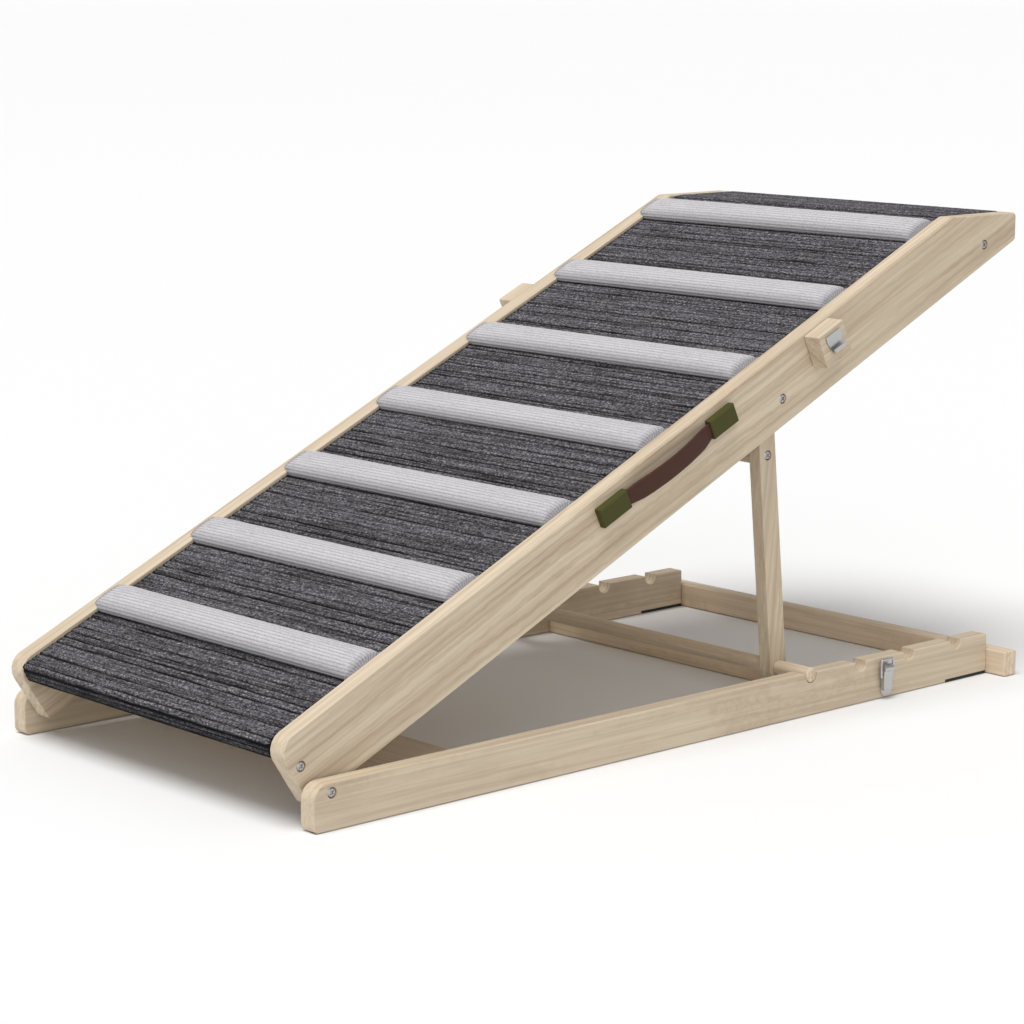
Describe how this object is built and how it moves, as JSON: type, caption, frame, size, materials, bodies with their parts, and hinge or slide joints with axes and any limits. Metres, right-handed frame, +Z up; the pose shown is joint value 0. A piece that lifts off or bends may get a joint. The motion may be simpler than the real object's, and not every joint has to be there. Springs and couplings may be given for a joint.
{
  "type": "folding dog ramp",
  "caption": "Folding wooden dog ramp with a carpeted deck, padded grip strips, a notched base frame and a swinging prop, shown at its highest setting.",
  "frame": {"origin": "centre of the bounding box at floor level", "axes": "+X towards the high end of the ramp, +Y to the left side, +Z up"},
  "size_m": [0.8432, 0.4534, 0.4188],
  "materials": {
    "pine": "satin",
    "carpet": "matte",
    "grip": "matte",
    "steel": "satin",
    "rubber": "matte",
    "cap": "satin",
    "leather": "satin"
  },
  "bodies": {
    "base": {"base_rail_right": "pine", "base_rail_left": "pine", "foot_pad_right": "rubber", "foot_pad_left": "rubber", "pivot_bolt_right": "steel", "pivot_bolt_left": "steel", "pivot_washer_right": "steel", "pivot_washer_left": "steel", "latch_plate_right": "steel", "latch_plate_left": "steel", "rear_cross_bar": "pine", "mid_cross_bar": "pine", "front_cross_board": "pine"},
    "ramp": {"ramp_rail_right": "pine", "ramp_rail_left": "pine", "front_screw_right": "steel", "front_screw_left": "steel", "top_screw_right": "steel", "top_screw_left": "steel", "keeper_block_right": "pine", "keeper_block_left": "pine", "keeper_right": "steel", "keeper_left": "steel", "prop_bolt_right": "steel", "prop_bolt_left": "steel", "prop_washer_right": "steel", "prop_washer_left": "steel", "deck_panel": "pine", "landing_panel": "pine", "deck_rear_bar": "pine", "carpet": "carpet", "grip_strip_1": "grip", "grip_strip_2": "grip", "grip_strip_3": "grip", "grip_strip_4": "grip", "grip_strip_5": "grip", "grip_strip_6": "grip", "grip_strip_7": "grip", "handle_cap_front": "cap", "handle_cap_rear": "cap", "handle_strap": "leather"},
    "prop": {"prop_leg_right": "pine", "prop_leg_left": "pine", "prop_screw_right": "steel", "prop_screw_left": "steel", "prop_cross_bar": "pine", "support_dowel": "pine"},
    "lever_right": {"latch_lever_right": "steel"},
    "lever_left": {"latch_lever_left": "steel"},
    "bail_right": {"latch_bail_right": "steel"},
    "bail_left": {"latch_bail_left": "steel"}
  },
  "joints": [
    {"name": "ramp_hinge", "type": "hinge", "parent": "base", "child": "ramp", "pos_m": [-0.39003, 0, 0.0292], "axis": [0, -1, 0], "range_deg": [0, 75]},
    {"name": "prop_hinge", "type": "hinge", "parent": "ramp", "child": "prop", "pos_m": [0.11578, 0, 0.2764], "axis": [0, -1, 0], "range_deg": [-41.25, 0]},
    {"name": "lever_hinge_right", "type": "hinge", "parent": "base", "child": "lever_right", "pos_m": [0.23097, -0.2099, 0.028], "axis": [-1, 0, 0], "range_deg": [0, 95]},
    {"name": "bail_hinge_right", "type": "hinge", "parent": "lever_right", "child": "bail_right", "pos_m": [0.23097, -0.2099, 0.0205], "axis": [1, 0, 0], "range_deg": [0, 114]},
    {"name": "lever_hinge_left", "type": "hinge", "parent": "base", "child": "lever_left", "pos_m": [0.23097, 0.2099, 0.028], "axis": [1, 0, 0], "range_deg": [0, 95]},
    {"name": "bail_hinge_left", "type": "hinge", "parent": "lever_left", "child": "bail_left", "pos_m": [0.23097, 0.2099, 0.0205], "axis": [-1, 0, 0], "range_deg": [0, 114]}
  ],
  "couplings": [
    {"joint": "prop_hinge", "follows": "ramp_hinge", "ratio": -0.55},
    {"joint": "bail_hinge_right", "follows": "lever_hinge_right", "ratio": 1.2},
    {"joint": "bail_hinge_left", "follows": "lever_hinge_left", "ratio": 1.2}
  ]
}
